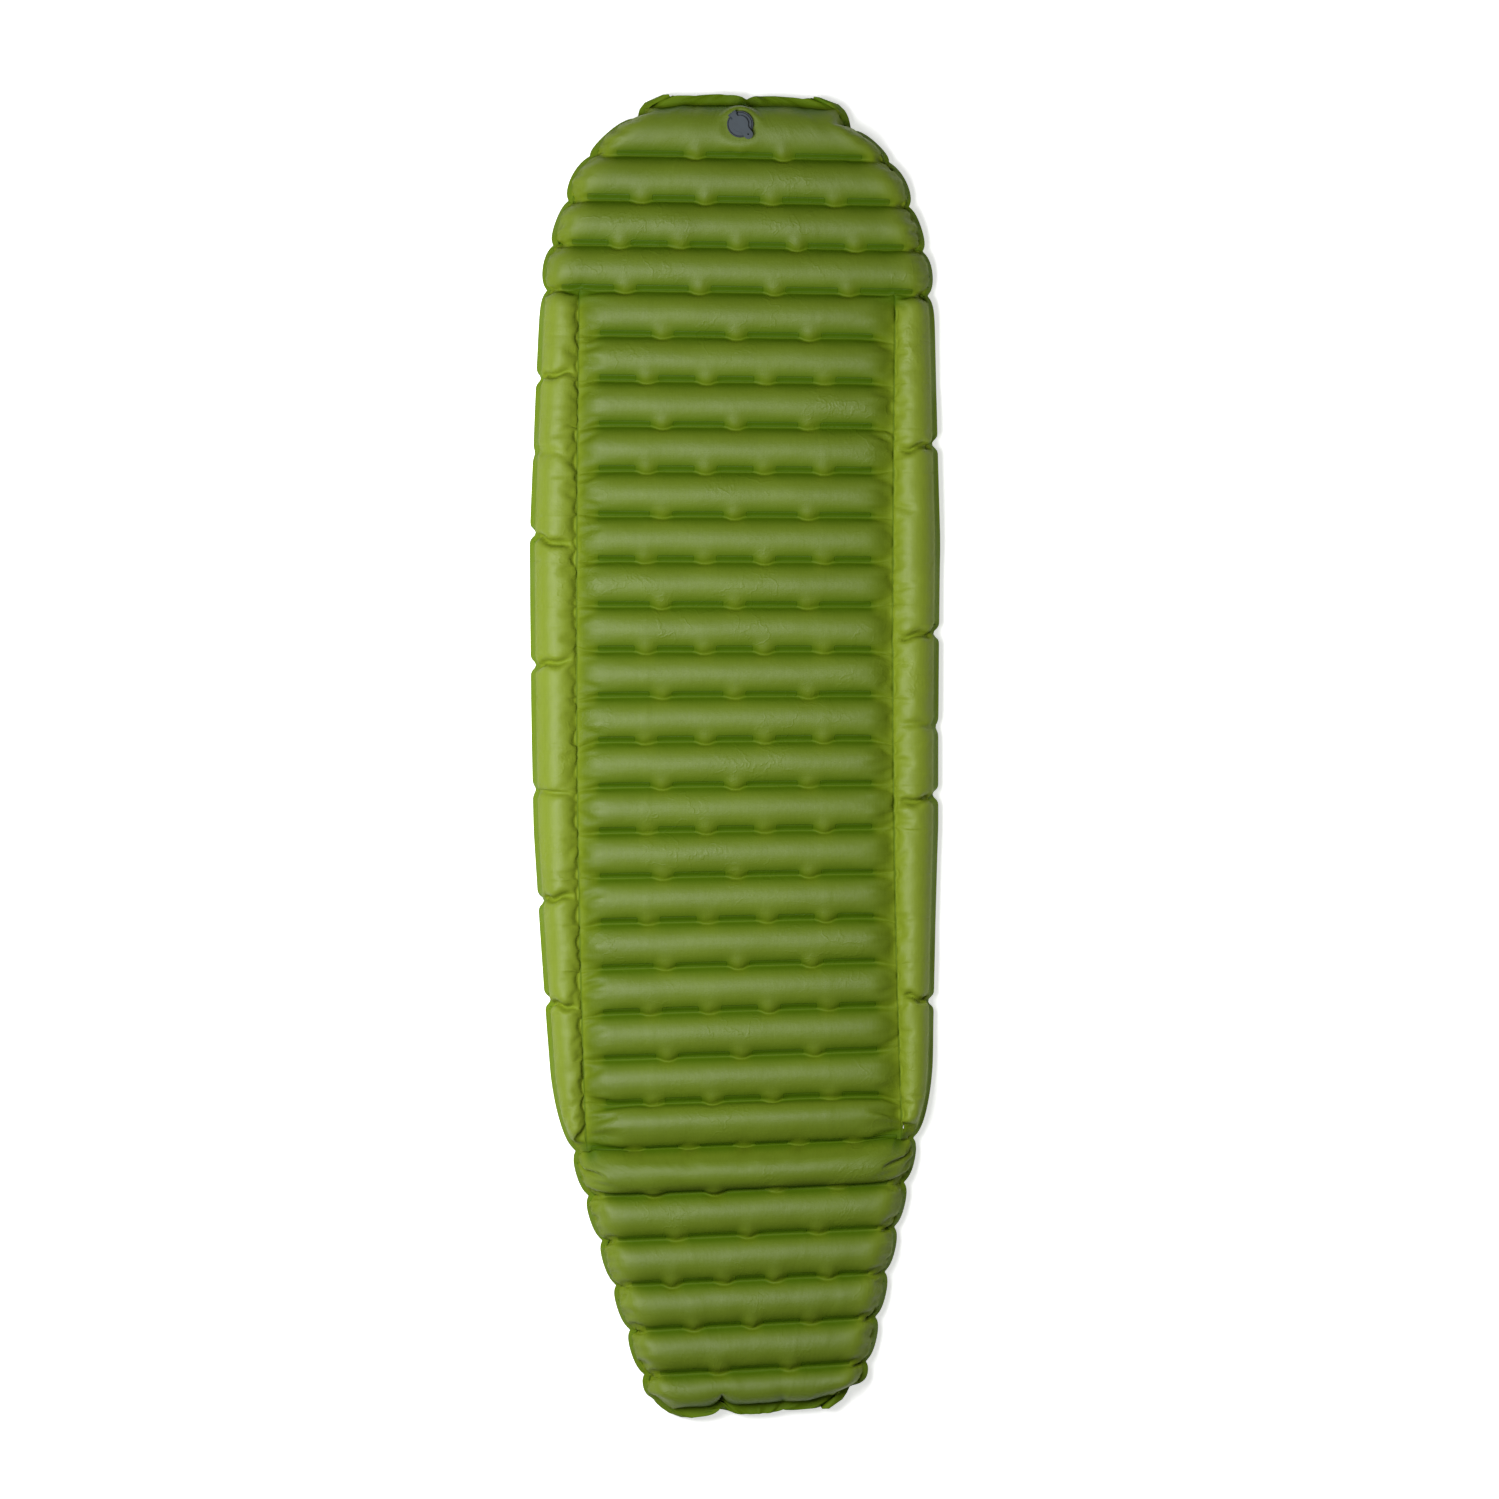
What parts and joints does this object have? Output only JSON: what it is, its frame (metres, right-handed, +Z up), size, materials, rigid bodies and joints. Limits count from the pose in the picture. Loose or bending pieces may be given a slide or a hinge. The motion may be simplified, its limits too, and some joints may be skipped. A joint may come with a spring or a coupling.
{
  "type": "inflatable sleeping pad",
  "caption": "Mummy-shaped air sleeping pad: two welded fabric sheets held together by cross baffles, with side rails and a flat two-stage valve at the head.",
  "frame": {"origin": "centre of the pad's outline on the surface that it rests on", "axes": "+X to the pad's right seen from above with the head up, +Y to the head (valve) end, +Z up out of the sleeping surface"},
  "size_m": [0.5756, 1.8547, 0.0718],
  "materials": {
    "sheet_fabric": "satin ripstop nylon",
    "baffle_film": "milky film",
    "valve_plastic": "moulded, satin",
    "valve_rubber": "moulded silicone"
  },
  "bodies": {
    "pad": {"top_sheet": "sheet_fabric", "bottom_sheet": "sheet_fabric", "baffle_01": "baffle_film", "baffle_02": "baffle_film", "baffle_03": "baffle_film", "baffle_04": "baffle_film", "baffle_05": "baffle_film", "baffle_06": "baffle_film", "baffle_07": "baffle_film", "baffle_08": "baffle_film", "baffle_09": "baffle_film", "baffle_10": "baffle_film", "baffle_11": "baffle_film", "baffle_12": "baffle_film", "baffle_13": "baffle_film", "baffle_14": "baffle_film", "baffle_15": "baffle_film", "baffle_16": "baffle_film", "baffle_17": "baffle_film", "baffle_18": "baffle_film", "baffle_19": "baffle_film", "baffle_20": "baffle_film", "baffle_21": "baffle_film", "baffle_22": "baffle_film", "baffle_23": "baffle_film", "baffle_24": "baffle_film", "baffle_25": "baffle_film", "baffle_26": "baffle_film", "baffle_27": "baffle_film", "baffle_28": "baffle_film", "left_rail_web": "baffle_film", "right_rail_web": "baffle_film", "valve_base": "valve_plastic"},
    "plug": {"deflation_plug": "valve_plastic", "flap_guide": "valve_plastic", "plug_seal": "valve_rubber"},
    "cap": {"inflation_cap": "valve_plastic"},
    "flap": {"check_flap": "valve_rubber"}
  },
  "joints": [
    {"name": "plug_pull", "type": "slide", "parent": "pad", "child": "plug", "axis": [0, 0, 1], "range_m": [0, 0.012]},
    {"name": "cap_hinge", "type": "hinge", "parent": "plug", "child": "cap", "pos_m": [-0.00397, 0.89424, 0.0701], "axis": [-0.788, -0.6157, 0], "range_deg": [0, 150]},
    {"name": "flap_travel", "type": "slide", "parent": "plug", "child": "flap", "axis": [0, 0, -1], "range_m": [0, 0.002], "stiffness_N_per_m": 20, "springref_m": -0.0005}
  ]
}
